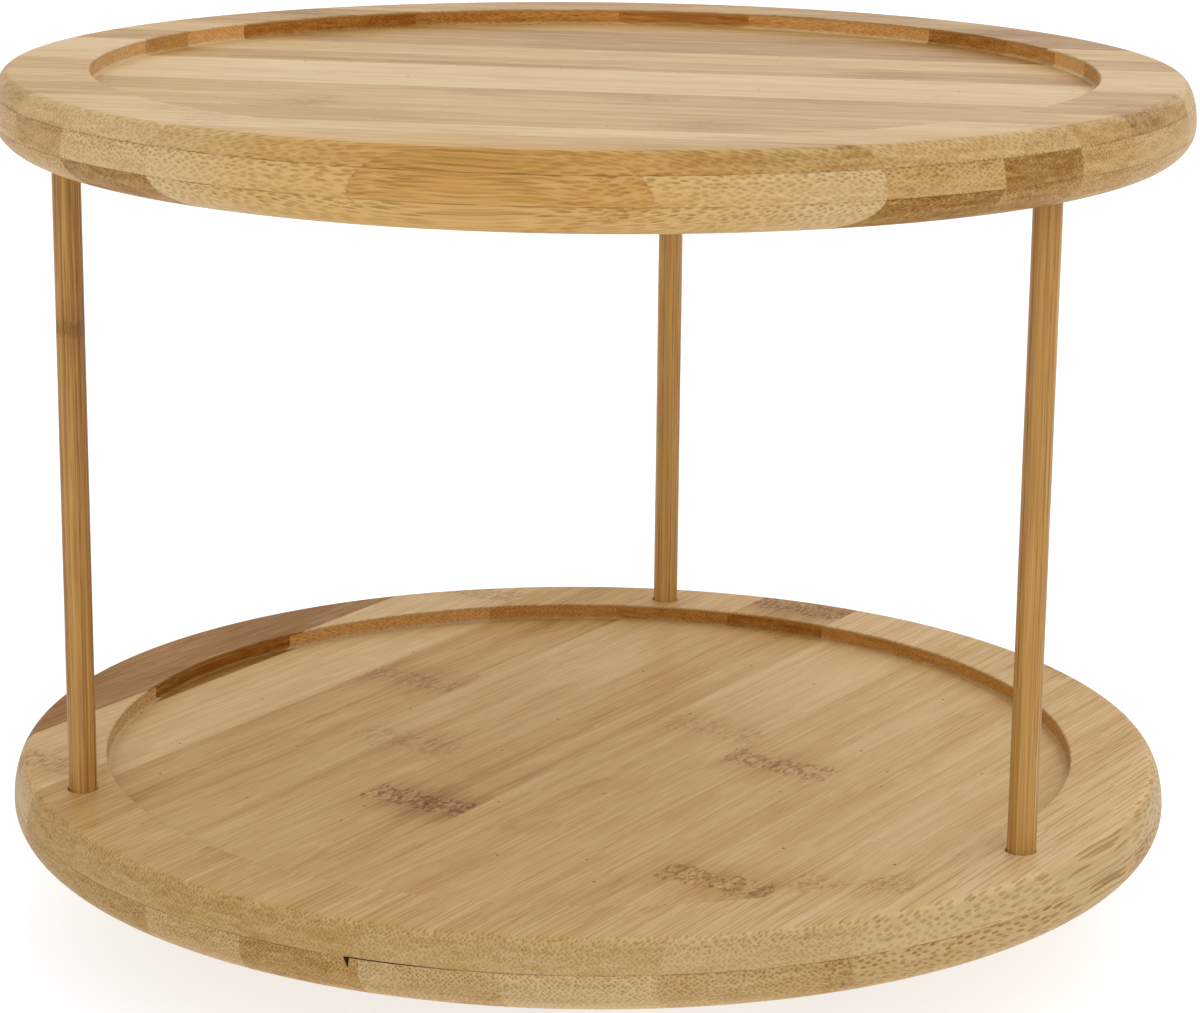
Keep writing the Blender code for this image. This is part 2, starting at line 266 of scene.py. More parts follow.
class Shader:
    """One node material, with short ways to add its nodes. Inputs take a socket or a number."""

    def __init__(self, name):
        self.made = bpy.data.materials.new(name)
        self.made.use_nodes = True
        self.tree = self.made.node_tree
        self.surface = self.tree.nodes["Principled BSDF"]

    def node(self, kind, **settings):
        node = self.tree.nodes.new("ShaderNode" + kind)
        for key, value in settings.items():
            setattr(node, key, value)
        return node

    def feed(self, socket, value):
        if isinstance(value, bpy.types.NodeSocket):
            self.tree.links.new(value, socket)
        else:
            socket.default_value = value

    def math(self, operation, *values):
        node = self.node("Math", operation=operation)
        for socket, value in zip(node.inputs, values):
            self.feed(socket, value)
        return node.outputs[0]

    def add(self, a, b):
        return self.math("ADD", a, b)

    def minus(self, a, b):
        return self.math("SUBTRACT", a, b)

    def times(self, a, b):
        return self.math("MULTIPLY", a, b)

    def magnitude(self, value):
        return self.math("ABSOLUTE", value)

    def radius(self, x, y):
        """How far a point is from the vertical line through the origin."""
        return self.math("SQRT", self.add(self.math("POWER", x, 2.0), self.math("POWER", y, 2.0)))

    def combine(self, x, y, z=0.0):
        node = self.node("CombineXYZ")
        for socket, value in zip(node.inputs, (x, y, z)):
            self.feed(socket, value)
        return node.outputs[0]

    def scaled(self, *parts):
        """A vector from (value, factor) pairs. A value without a factor stands as it is."""
        return self.combine(*[self.times(*part) if isinstance(part, tuple) else part for part in parts])

    def separate(self, vector):
        node = self.node("SeparateXYZ")
        self.feed(node.inputs[0], vector)
        return node.outputs

    def place(self, turn=0.0, shift=(0, 0, 0)):
        """Object position in millimetres, turned about Z and then shifted, as x, y and z."""
        node = self.node("Mapping", vector_type="POINT")
        self.feed(node.inputs["Vector"], self.node("TexCoord").outputs["Object"])
        node.inputs["Scale"].default_value = (1000, 1000, 1000)
        node.inputs["Rotation"].default_value = (0, 0, math.radians(turn))
        node.inputs["Location"].default_value = shift
        return self.separate(node.outputs[0])

    def noise(self, vector, scale=1.0, detail=2.0, roughness=0.5):
        node = self.node("TexNoise", noise_dimensions="3D")
        self.feed(node.inputs["Vector"], vector)
        self.feed(node.inputs["Scale"], scale)
        self.feed(node.inputs["Detail"], detail)
        self.feed(node.inputs["Roughness"], roughness)
        return node.outputs[0]

    def wander(self, vector, reach, detail=1.0):
        """Noise that runs from -reach to +reach."""
        return self.times(self.minus(self.noise(vector, detail=detail), 0.5), 2 * reach)

    def cells(self, vector, randomness=0.6):
        node = self.node("TexVoronoi", voronoi_dimensions="2D", feature="F1")
        self.feed(node.inputs["Vector"], vector)
        self.feed(node.inputs["Scale"], 1.0)
        self.feed(node.inputs["Randomness"], randomness)
        return node.outputs["Distance"], node.outputs["Color"]

    def lattice(self, x, z, pitch):
        """Cells in staggered rows: the distance to each cell's middle, and its own random colour."""
        slant = math.sqrt(0.5) / pitch
        return self.cells(self.scaled((self.add(x, z), slant), (self.minus(x, z), slant)))

    def step(self, value, start, end, low=0.0, high=1.0):
        """Goes smoothly from low to high as the value goes from start to end."""
        node = self.node("MapRange", interpolation_type="SMOOTHSTEP")
        for socket, number in zip(node.inputs, (value, start, end, low, high)):
            self.feed(socket, number)
        return node.outputs[0]

    def ramp(self, factor, stops, interpolation="LINEAR"):
        """stops are (position, (r, g, b)) or (position, (r, g, b, a))."""
        node = self.node("ValToRGB")
        ramp = node.color_ramp
        ramp.interpolation = interpolation
        while len(ramp.elements) < len(stops):
            ramp.elements.new(1.0)
        for element, (position, colour) in zip(ramp.elements, stops):
            element.position = position
            element.color = colour if len(colour) == 4 else (*colour, 1.0)
        self.feed(node.inputs[0], factor)
        return node.outputs[0], node.outputs[1]

    def mix(self, factor, a, b, blend="MIX"):
        node = self.node("Mix", data_type="RGBA", blend_type=blend)
        self.feed(node.inputs[0], factor)
        self.feed(node.inputs[6], a if isinstance(a, bpy.types.NodeSocket) else (*a, 1.0))
        self.feed(node.inputs[7], b if isinstance(b, bpy.types.NodeSocket) else (*b, 1.0))
        return node.outputs[2]

    def blend(self, factor, a, b):
        """a where the factor is 0 and b where it is 1, for plain numbers."""
        node = self.node("Mix", data_type="FLOAT")
        self.feed(node.inputs[0], factor)
        self.feed(node.inputs[2], a)
        self.feed(node.inputs[3], b)
        return node.outputs[0]

    def dress(self, colour, roughness, height=None, depth=0.1 * MM, strength=1.0, **fixed):
        """Feeds the surface. The other values are the same all over, and sit on its own sockets."""
        self.feed(self.surface.inputs["Base Color"], colour)
        self.feed(self.surface.inputs["Roughness"], roughness)
        if height is not None:
            bump = self.node("Bump")
            bump.inputs["Strength"].default_value = strength
            bump.inputs["Distance"].default_value = depth
            self.feed(bump.inputs["Height"], height)
            self.feed(self.surface.inputs["Normal"], bump.outputs[0])
        for name, value in fixed.items():
            self.surface.inputs[name.replace("_", " ")].default_value = value
        return self.made


# ---------------------------------------------------------------- bamboo

# Linear colours of the ground tissue, from pale to dark. The pale end is a little whiter and bluer than the
# tissue, for a painted sheen.
GROUND_WITH_SHEEN = ((0.0, (0.66, 0.48, 0.255)), (0.5, (0.53, 0.335, 0.128)), (1.0, (0.28, 0.125, 0.020)))
DOWEL_GROUND = ((0.0, (0.58, 0.36, 0.115)), (0.5, (0.45, 0.24, 0.060)), (1.0, (0.25, 0.105, 0.022)))

# What each feature multiplies the ground by
FIBRE_TINT = (0.54, 0.40, 0.27)
DOWEL_FIBRE_TINT = (0.55, 0.42, 0.32)
NODE_TINT = (0.50, 0.34, 0.21)
# partly cutter burn, partly painted shade on the far recess wall
WALL_BURN_AND_SHADE_TINT = (1.15, 0.88, 0.56)
AMBER_TINT = (1.0, 0.88, 0.62)

# Colours that cover the ground
# painted highlight on the node's fibres
NODE_HIGHLIGHT = (0.60, 0.44, 0.26)
SPECK = (0.16, 0.07, 0.03)
GLUE = (0.10, 0.05, 0.02)
# painted shadow inside an opened seam and its chip
OPEN_GAP_SHADOW = (0.02, 0.012, 0.008)

# In mm
NODE_PERIOD = 166  # along the grain, from one culm node to the next
TONE_REACH = 75  # along the grain, how far from the middle a strip's tone still changes
FINE_PITCH = 0.68  # between fibre bundles
COARSE_PITCH = 1.02
BEYOND = 200  # outside every board

# Strips across each ply, from its low side: tone at the two ends (0 pale to 1 dark),
# place of the culm node along the grain in mm, and how strongly it shows
LOWER_TOP = (
    (0.95, 0.95, 60, 0.0), (0.10, 0.10, -82, 0.6), (0.50, 0.55, 22, 0.5), (0.40, 0.25, -17, 0.4),
    (0.45, 0.45, -49, 1.0), (0.40, 0.15, 29, 0.4), (0.35, 0.25, 15, 0.8), (0.30, 0.25, -56, 0.8),
    (0.20, 0.30, -46, 0.5), (0.10, 0.20, 70, 0.2),
)
LOWER_BOTTOM = (
    (0.50, 0.50, 40, 0.5), (0.20, 0.30, 10, 0.6), (0.45, 0.20, 75, 0.4), (0.50, 0.55, -60, 0.5),
    (0.20, 0.35, 30, 0.6), (0.55, 0.40, -20, 0.6), (0.20, 0.35, 55, 0.4), (0.05, 0.20, 5, 0.5),
    (0.30, 0.25, -70, 0.5), (0.30, 0.20, 20, 0.4),
)
UPPER_TOP = (
    (0.60, 0.60, 30, 0.2), (0.65, 0.75, 75, 0.3), (0.55, 0.70, -40, 0.2), (0.70, 0.80, 80, 0.3),
    (0.65, 0.80, -75, 0.3), (0.35, 0.45, 40, 0.1), (0.65, 0.70, 60, 0.1), (0.10, 0.30, -20, 0.1),
    (0.15, 0.30, 70, 0.1), (0.55, 0.65, 12, 0.2), (0.40, 0.60, -51, 0.4), (0.55, 0.55, 33, 0.3),
    (0.25, 0.25, -65, 0.3), (0.15, 0.40, -56, 0.3), (0.25, 0.60, -70, 0.4), (0.50, 0.55, 70, 0.3),
)
UPPER_MIDDLE = (
    (0.40, 0.40, 20, 0.3), (0.30, 0.45, -50, 0.3), (0.60, 0.40, 60, 0.3), (0.30, 0.20, 0, 0.3),
    (0.55, 0.50, 40, 0.3), (0.25, 0.30, -30, 0.3), (0.60, 0.50, 70, 0.3), (0.35, 0.30, -60, 0.3),
    (0.20, 0.30, 10, 0.3), (0.55, 0.50, 45, 0.3), (0.30, 0.40, -70, 0.3), (0.40, 0.50, 30, 0.2),
    (0.55, 0.85, -25, 0.2), (0.15, 0.45, 80, 0.1), (0.00, 0.15, -75, 0.3), (0.35, 0.40, 50, 0.4),
)
UPPER_BOTTOM = (
    (0.30, 0.30, 0, 0.3), (0.60, 0.50, -50, 0.3), (0.35, 0.40, 60, 0.3), (0.70, 0.60, 20, 0.3),
    (0.30, 0.35, 40, 0.3), (0.45, 0.40, -30, 0.3), (0.20, 0.30, 70, 0.3), (0.60, 0.60, -60, 0.3),
    (0.40, 0.35, 10, 0.3), (0.25, 0.30, 45, 0.3), (0.40, 0.50, -70, 0.3), (0.45, 0.60, 30, 0.2),
    (0.40, 0.75, -35, 0.2), (0.75, 0.85, 80, 0.1), (0.05, 0.10, 15, 0.3), (0.10, 0.10, 30, 0.3),
)

# Strips that show on each recess wall: tone at the two ends
LOWER_WALL = (
    (0.90, 0.90), (0.00, 0.00), (0.45, 0.45), (0.60, 0.60), (0.80, 0.80), (0.50, 0.50),
    (0.40, 0.40), (0.40, 0.40), (0.35, 0.35), (0.20, 0.20),
)
UPPER_WALL = (
    (0.40, 0.40), (0.70, 0.70), (0.80, 0.10), (0.90, 0.80), (0.80, 0.60), (0.10, 0.00),
    (0.55, 0.55), (0.20, 0.20), (0.30, 0.30), (0.40, 0.40), (0.30, 0.30), (0.40, 0.40),
    (0.40, 0.40), (0.30, 0.30), (0.40, 0.40), (0.40, 0.40),
)


@dataclass
class Recess:
    """A turned recess, in mm from the axis and from the board's underside."""

    floor_radius: float
    wall_radius: float
    floor: float
    rim: float
    strips: tuple  # what shows on its wall
    shift: float  # how far they stand from the strips above
    drift: float = 0.0  # how much more, for each mm along the grain


@dataclass
class Board:
    """How a board is laminated and finished. Lengths are in mm, and heights start at its underside."""

    node: str  # the CAD node that it is turned from
    turn: float  # degrees from the grain to +Y
    plies: tuple  # (top of the ply, its strips), from the bottom up
    width: float  # of each strip
    start: float  # low side of the first strip
    fan: float = 0.0  # how much the strips past the middle narrow, for each mm along the grain
    recess: Recess = None
    coarse_from: float = BEYOND  # across the grain, where coarse fibres begin
    amber_from: float = BEYOND  # across the grain, where the ground turns amber
    gloss: float = 0.08
    # painted shade on the turned sides, which take less light than the tops
    edge_shade: tuple = (0.95, 0.94, 0.93)
    split: tuple = None  # left and right end of an opened glue line in the front edge


class Bamboo(Shader):
    """Laminated bamboo as a solid texture, so that faces, edges and end grain agree."""

    def __init__(self, board):
        super().__init__(board.node + "_bamboo")
        self.board = board
        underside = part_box(board.node)[0].z / MM
        self.across, self.along, self.height = self.place(board.turn, (0, 0, -underside))
        past_middle = self.math("GREATER_THAN", self.across, 0.0)
        spread = self.add(1.0, self.times(self.times(self.along, board.fan), past_middle))
        self.strip_x = self.times(self.across, spread)
        self.upright = self.magnitude(self.separate(self.node("NewGeometry").outputs["Normal"])[2])
        if board.recess:
            self.find_recess()
        self.read_strips()
        self.find_culm_node()
        self.find_fibres()

    def find_recess(self):
        """Masks for the recess's wall and floor."""
        recess = self.board.recess
        radius = self.radius(self.across, self.along)
        inside = self.step(radius, recess.wall_radius + 0.4, recess.wall_radius + 0.1)
        under_rim = self.step(self.height, recess.rim - 0.25, recess.rim - 0.6)
        over_board = self.step(self.height, recess.floor - 1.0, recess.floor - 0.5)
        sunk = self.times(inside, self.times(under_rim, over_board))
        self.wall = self.times(sunk, self.step(radius, recess.floor_radius + 0.1, recess.floor_radius + 0.5))
        self.floor = self.minus(sunk, self.wall)

    def look_up(self, x, strips):
        """The strip at x: a colour that holds its two tones and node code, and its node's strength."""
        stops = []
        for i, (near_tone, far_tone, node_place, strength) in enumerate(strips):
            code = node_place / NODE_PERIOD + 0.5
            stops.append((i / len(strips), (near_tone, far_tone, code, strength)))
        factor = self.times(self.minus(x, self.board.start), 1 / (self.board.width * len(strips)))
        return self.ramp(factor, stops, "CONSTANT")

    def lay(self, mask, under, over):
        """Puts one looked-up strip over another where the mask is 1."""
        return self.mix(mask, under[0], over[0]), self.blend(mask, under[1], over[1])

    def read_strips(self):
        """What the tables say about the strip that a point lies in."""
        plies = self.board.plies
        strip = self.look_up(self.strip_x, plies[0][1])
        for (seam, _), (_, strips) in zip(plies, plies[1:]):
            above = self.math("GREATER_THAN", self.height, seam)
            strip = self.lay(above, strip, self.look_up(self.strip_x, strips))
        recess = self.board.recess
        if recess:
            drift = self.times(self.math("MAXIMUM", self.along, 0.0), recess.drift)
            x = self.add(self.strip_x, self.add(recess.shift, drift))
            plain = [(near_tone, far_tone, 0, 0.0) for near_tone, far_tone in recess.strips]
            strip = self.lay(self.wall, strip, self.look_up(x, plain))
        near_tone, far_tone, code = self.separate(strip[0])
        self.tone = self.blend(self.step(self.along, -TONE_REACH, TONE_REACH), near_tone, far_tone)
        self.node_place = self.times(self.minus(code, 0.5), NODE_PERIOD)
        self.node_strength = strip[1]
        self.seed = self.add(self.times(code, 311.0), self.times(near_tone, 173.0))
        self.own_along = self.add(self.along, self.seed)  # keeps strips from sharing a pattern

    def find_culm_node(self):
        """A ragged band across the strip, in a halo."""
        ragged = self.wander(self.scaled((self.across, 0.35), (self.along, 0.12), self.seed), 3.0, 2.0)
        gap = self.minus(self.add(self.along, ragged), self.node_place)
        offset = self.magnitude(self.math("WRAP", gap, NODE_PERIOD / 2, -NODE_PERIOD / 2))
        self.core = self.times(self.step(offset, 5.5, 3.6), self.node_strength)
        self.halo = self.times(self.step(offset, 17.0, 3.0), self.node_strength)

    def find_fibres(self):
        """Fibre bundles: streaks along the grain and dots on end grain, stronger towards a ply's top."""
        sway = self.wander(self.scaled((self.across, 0.05), (self.own_along, 0.018)), 0.9)
        kink = self.wander(self.scaled((self.across, 0.5), (self.along, 0.55), self.seed), 1.3)
        dive = self.wander(self.scaled((self.across, 0.12), (self.own_along, 0.035), 7.0), 1.3, 2.0)
        self.fibre_x = self.add(self.add(self.across, sway), self.times(kink, self.core))
        self.fibre_z = self.add(self.add(self.height, dive), self.seed)
        coarse_from = self.board.coarse_from
        coarse = self.blend(self.step(self.across, coarse_from - 2, coarse_from + 1), 0.15, 1.0)
        fine_far, fine_tint = self.lattice(self.fibre_x, self.fibre_z, FINE_PITCH)
        wide_far, wide_tint = self.lattice(self.fibre_x, self.fibre_z, COARSE_PITCH)
        bundles = self.blend(coarse, self.step(fine_far, 0.45, 0.24), self.step(wide_far, 0.36, 0.24))
        tint = self.separate(self.mix(coarse, fine_tint, wide_tint))[0]
        skin = self.board.plies[0][0]
        outer = self.step(self.math("WRAP", self.height, skin, 0.0), 0.1 * skin, skin)
        weight = self.times(self.add(0.5, self.times(tint, 0.5)), self.add(0.6, self.times(outer, 0.5)))
        self.bundles = self.times(bundles, weight)

    def ground(self):
        """The tissue between the fibres: bands, streaks, threads and clouds over the strip's own tone."""
        layers = (
            (0.28, 2.0, (self.fibre_x, 0.16), (self.own_along, 0.009), self.fibre_z),
            (0.26, 3.0, (self.fibre_x, 0.55), (self.own_along, 0.004), self.fibre_z),
            (0.31, 3.0, (self.fibre_x, 2.8), (self.own_along, 0.02), (self.fibre_z, 2.8)),
            (0.20, 2.0, (self.across, 0.06), (self.own_along, 0.022), self.height),
        )
        shade = self.add(self.tone, self.times(self.halo, 0.26))
        for reach, detail, *place in layers:
            shade = self.add(shade, self.wander(self.scaled(*place), reach, detail))
        amber_from = self.board.amber_from
        amber = self.step(self.magnitude(self.across), amber_from - 16, amber_from + 2)
        # the pale end of the ground colours holds a painted sheen
        return self.mix(amber, self.ramp(shade, GROUND_WITH_SHEEN)[0], AMBER_TINT, "MULTIPLY")

    def fibre_contrast(self):
        """Strong on turned edges, weaker on flat faces, weakest on a recess floor."""
        contrast = self.step(self.upright, 0.90, 0.98, 0.8, 0.5)
        if self.board.recess:
            contrast = self.blend(self.floor, contrast, 0.42)
        return contrast

    def wall_burn_and_shade(self):
        """The recess wall is browned, most of all at the back: partly by the cutter and the finish, partly
        by painted shade on the far wall, which faces away from the back light.
        """
        floor = self.board.recess.floor
        far_side = self.step(self.place()[1], -10, 60, 0.25, 1.0)
        return self.times(self.times(self.wall, far_side), self.step(self.height, floor + 0.2, floor + 1.0))

    def specks(self):
        """A few dark specks on the recess floor."""
        far = self.cells(self.scaled((self.across, 0.032), (self.along, 0.032)), 1.0)[0]
        return self.times(self.step(far, 0.014, 0.006), self.floor)

    def glue_lines(self):
        """Thin lines between strips, and stronger, broken ones between plies."""
        strip_far = self.math("PINGPONG", self.minus(self.strip_x, self.board.start), self.board.width / 2)
        joint = self.times(self.step(strip_far, 0.10, 0.03), 0.12)
        broken = self.step(self.noise(self.scaled((self.across, 0.11), (self.along, 0.11))), 0.35, 0.6)
        for seam, _ in self.board.plies[:-1]:
            seam_far = self.magnitude(self.minus(self.height, seam))
            line = self.times(self.step(seam_far, 0.16, 0.05), self.add(0.12, self.times(broken, 0.38)))
            joint = self.math("MAXIMUM", joint, line)
        return joint

    def split_seam_shadow(self):
        """Painted shadow in a glue line that has opened in the front edge, and in a small chip out of the
        ply below it.
        """
        left, right = self.board.split
        seam = self.board.plies[0][0]
        x, y, _ = self.place()
        front = self.step(y, -100, -104)
        reach = self.times(self.step(x, left - 0.2, left), self.step(x, right + 5, left + 8))
        thin = self.step(self.magnitude(self.minus(self.height, seam)), 0.17, 0.06)
        line = self.times(self.times(reach, front), thin)
        drop = self.minus(seam, self.height)
        lean = self.magnitude(self.minus(x, self.add(left + 0.3, self.times(drop, 0.2))))
        across_chip = self.step(self.add(lean, self.times(drop, 0.3)), 0.75, 0.55)
        down_chip = self.times(self.step(drop, -0.1, 0.1), self.step(drop, 2.6, 2.2))
        chip = self.times(self.times(across_chip, front), down_chip)
        return self.math("MAXIMUM", line, chip)


def bamboo_board(board):
    """The material of a laminated board, laid down from the ground tissue to the glue lines and pores."""
    s = Bamboo(board)
    colour = s.mix(s.times(s.bundles, s.fibre_contrast()), s.ground(), FIBRE_TINT, "MULTIPLY")
    knots = s.noise(s.scaled((s.fibre_x, 1.3), (s.along, 0.42), s.height), detail=4.0, roughness=0.65)
    flecks = s.times(s.core, s.step(knots, 0.47, 0.58))
    # painted highlight: light flecks in the node
    node_highlight = s.times(s.core, s.step(knots, 0.42, 0.34))
    colour = s.mix(s.times(flecks, 0.9), colour, NODE_TINT, "MULTIPLY")
    colour = s.mix(s.times(node_highlight, 0.6), colour, NODE_HIGHLIGHT)
    if board.recess:
        # browns the recess wall with cutter burn and painted shade, most at the back
        colour = s.mix(s.wall_burn_and_shade(), colour, WALL_BURN_AND_SHADE_TINT, "MULTIPLY")
        colour = s.mix(s.specks(), colour, SPECK)
    # painted shade: faces turned to the side are darkened, as they take less light than the tops
    colour = s.mix(s.step(s.upright, 0.95, 0.45), colour, board.edge_shade, "MULTIPLY")
    joint = s.glue_lines()
    colour = s.mix(joint, colour, GLUE)
    if board.split:
        # painted shadow of the opened seam and its chip
        colour = s.mix(s.split_seam_shadow(), colour, OPEN_GAP_SHADOW)
    pores = s.noise(s.scaled((s.fibre_x, 4.0), (s.along, 0.15), (s.fibre_z, 4.0)), detail=2)
    roughness = s.add(0.36, s.add(s.times(s.bundles, 0.08), s.times(pores, 0.10)))
    relief = s.add(s.times(s.bundles, -0.5), s.add(s.times(pores, 0.35), s.times(joint, -1.2)))
    relief = s.add(relief, s.times(flecks, 0.8))
    return s.dress(colour, roughness, relief, depth=0.06 * MM, strength=0.7, Specular_IOR_Level=board.gloss)


def bamboo_dowel(name, node_height, tone):
    """A round bamboo rod: long dark fibres, and one node where node_height says, in mm."""
    s = Shader(name)
    x, y, z = s.place()
    offset = s.magnitude(s.minus(s.add(z, s.wander(s.combine(x, y), 0.8)), node_height))
    core = s.step(offset, 2.2, 0.8)
    halo = s.step(offset, 9.0, 1.0)
    slow = s.times(z, 0.012)
    sway_x = s.wander(s.scaled((x, 0.2), (y, 0.2), slow), 0.8)
    sway_y = s.wander(s.scaled((x, 0.2), (y, 0.2), s.add(slow, 9.0)), 0.8)
    kink = s.times(s.wander(s.scaled(x, y, (z, 0.5)), 0.8), core)
    fibre_x = s.add(x, s.add(sway_x, kink))
    fibre_y = s.add(y, sway_y)
    far, tint = s.cells(s.scaled((fibre_x, 1.5), (fibre_y, 1.5)))
    bundles = s.times(s.step(far, 0.48, 0.22), s.add(0.3, s.times(s.separate(tint)[0], 0.7)))
    gaps = s.noise(s.scaled((fibre_x, 3.0), (fibre_y, 3.0), (z, 0.11)))
    bundles = s.times(bundles, s.step(gaps, 0.38, 0.58, 0.25, 1.0))
    streak = s.wander(s.scaled((fibre_x, 1.3), (fibre_y, 1.3), (z, 0.006)), 0.70, 3.0)
    thread = s.wander(s.scaled((fibre_x, 4.5), (fibre_y, 4.5), (z, 0.03)), 0.55, 2.0)
    shade = s.add(s.add(tone, s.add(streak, thread)), s.times(halo, 0.12))
    ground = s.ramp(shade, DOWEL_GROUND)[0]
    dark = s.mix(1.0, ground, DOWEL_FIBRE_TINT, "MULTIPLY")
    colour = s.mix(s.times(core, 0.5), s.mix(bundles, ground, dark), dark)
    pores = s.noise(s.scaled((fibre_x, 5.0), (fibre_y, 5.0), (z, 0.3)), detail=2)
    roughness = s.add(0.38, s.times(pores, 0.14))
    relief = s.add(s.times(bundles, -0.6), s.add(s.times(pores, 0.4), s.times(core, 1.5)))
    return s.dress(colour, roughness, relief, depth=0.07 * MM, strength=0.8, Specular_IOR_Level=0.25)


# ---------------------------------------------------------------- other materials


def plated_steel():
    """Zinc plated sheet: turned polish rings, faint clouding and dull smears."""
    s = Shader("zinc_plated_sheet")
    x, y, z = s.place()
    rings = s.noise(s.scaled((s.radius(x, y), 6.0), (z, 6.0)), detail=3.0, roughness=0.7)
    cloud = s.noise(s.combine(x, y, z), scale=0.09, detail=4.0, roughness=0.6)
    smear = s.step(s.noise(s.combine(x, y, z), scale=0.35, detail=3.0), 0.55, 0.75)
    tone = s.add(s.times(cloud, 0.6), s.times(rings, 0.4))
    zinc = ((0.25, (0.50, 0.50, 0.49)), (0.5, (0.62, 0.62, 0.60)), (0.8, (0.72, 0.72, 0.70)))
    colour = s.ramp(tone, zinc)[0]
    roughness = s.add(0.22, s.add(s.times(rings, 0.16), s.times(smear, 0.15)))
    return s.dress(colour, roughness, rings, depth=0.01 * MM, strength=0.5, Metallic=1.0)


def ball_steel():
    """Ground steel balls with a thin, uneven film of grease."""
    s = Shader("bearing_steel")
    x, y, z = s.place()
    film = s.noise(s.combine(x, y, z), scale=0.9, detail=3.0)
    colour = s.ramp(film, ((0.3, (0.72, 0.71, 0.69)), (0.75, (0.55, 0.50, 0.40))))[0]
    return s.dress(colour, s.step(film, 0.4, 0.8, 0.08, 0.30), film, depth=0.01 * MM, Metallic=1.0)


def cage_nylon():
    """Natural moulded nylon: waxy, slightly mottled, fine moulding grain."""
    s = Shader("natural_nylon")
    x, y, z = s.place()
    mottle = s.noise(s.combine(x, y, z), scale=0.15, detail=3.0)
    grain = s.noise(s.combine(x, y, z), scale=5.0, detail=2.0)
    colour = s.ramp(mottle, ((0.3, (0.70, 0.67, 0.58)), (0.7, (0.80, 0.78, 0.71))))[0]
    return s.dress(colour, s.add(0.38, s.times(grain, 0.14)), grain, depth=0.02 * MM)


def screw_steel():
    """Zinc plated screws: clouded, yellowish passivation and a fine grit."""
    s = Shader("plated_screw")
    x, y, z = s.place()
    cloud = s.noise(s.combine(x, y, z), scale=0.8, detail=3.0)
    grit = s.noise(s.combine(x, y, z), scale=9.0, detail=2.0)
    colour = s.ramp(cloud, ((0.3, (0.50, 0.47, 0.38)), (0.7, (0.66, 0.64, 0.58))))[0]
    return s.dress(colour, s.add(0.22, s.times(grit, 0.2)), grit, depth=0.01 * MM, Metallic=1.0)


def foot_rubber():
    """Matt black rubber with a moulded grain and a little dust."""
    s = Shader("foot_rubber")
    x, y, z = s.place()
    grain = s.noise(s.combine(x, y, z), scale=3.5, detail=4.0, roughness=0.7)
    dust = s.step(s.noise(s.combine(x, y, z), scale=0.6, detail=4.0), 0.5, 0.8)
    colour = s.mix(s.times(dust, 0.35), (0.022, 0.022, 0.023), (0.09, 0.085, 0.08))
    return s.dress(colour, s.step(grain, 0.2, 0.9, 0.62, 0.85), grain, depth=0.05 * MM)


# ---------------------------------------------------------------- pieces


def tray_outline(low, high):
    """Half section of a tray between two heights, with close rings where flats meet curves."""
    floor = high.z - RECESS_DEPTH
    cove = (RECESS_RADIUS - COVE_RADIUS, floor + COVE_RADIUS)
    lip = (RECESS_RADIUS + LIP_ROUND, high.z - LIP_ROUND)
    over = (high.x - EDGE_TOP[0], high.z - EDGE_TOP[1])
    under = (high.x - EDGE_BOTTOM[0], low.z + EDGE_BOTTOM[1])
    outline = flat(floor, 0, 35 * MM, 70 * MM, cove[0] - RING_GAP, cove[0] - EASE)
    outline += arc(cove, (COVE_RADIUS, COVE_RADIUS), -90, 0, 9)
    outline += arc(lip, (LIP_ROUND, LIP_ROUND), 180, 90, 6)
    outline += flat(high.z, lip[0] + EASE, lip[0] + RING_GAP, over[0] - RING_GAP, over[0] - EASE)
    outline += arc(over, EDGE_TOP, 90, 0, 22)
    outline += arc(under, EDGE_BOTTOM, 0, -90, 20)[1:]
    outline += flat(low.z, under[0] - EASE, under[0] - 2 * RING_GAP, 60 * MM, 30 * MM, 0)
    return outline


def post_places():
    """The dowels sit hard against the right of their sockets, so that the play shows on the left."""
    play = Vector((-0.12 * MM, 0, 0))
    return [middle(name) + play for name in ("post_back", "post_left", "post_right")]


def screw_places(kind):
    return [middle(f"{kind}_screw_{i}") for i in range(1, 5)]


def access_place():
    """Where a screwdriver reaches through to the tray screws, on their own radius."""
    return Vector((0, -middle("tray_screw_1").x, 0))


def make_tray(node, material):
    """The sockets for the posts open upwards in the lower tray and downwards in the upper one."""
    low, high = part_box(node)
    tray = lathe(node + "_board", tray_outline(low, high), TRAY_SEGMENTS)
    if node == "lower_tray":
        bore(tray, post_places(), SOCKET_RADIUS, high.z - SOCKET_DEPTH, high.z, chamfer=SOCKET_CHAMFER)
        bore(tray, screw_places("tray"), PILOT_RADIUS, low.z - CUT_PAST, low.z + SCREW_DEPTH, PILOT_SEGMENTS)
    else:
        bore(tray, post_places(), SOCKET_RADIUS, low.z - CUT_PAST, low.z + SOCKET_DEPTH)
    finish_shading(tray)
    stands_for(tray, node, material)


def post_outline(radius, low, high, rows=60):
    """Half section of a dowel with chamfered ends, in rows close enough to ripple its side."""
    inner = radius - POST_CHAMFER
    length = high - low - 2 * POST_CHAMFER
    outline = [(0, high), (inner, high), (radius, high - POST_CHAMFER)]
    for i in range(1, rows):
        outline.append((radius, high - POST_CHAMFER - length * i / rows))
    outline += [(radius, low + POST_CHAMFER), (inner, low), (0, low)]
    return outline


def ripple_side(post, centre, depth=0.012):
    """Draws the side in unevenly, by up to twice this share of the radius, as on a real dowel."""
    for vert in post.data.vertices:
        out = Vector((vert.co.x - centre.x, vert.co.y - centre.y, 0))
        ripple = noise.noise(Vector((vert.co.x * 400, vert.co.y * 400, vert.co.z * 60)))
        vert.co -= out * depth * (1 + ripple)


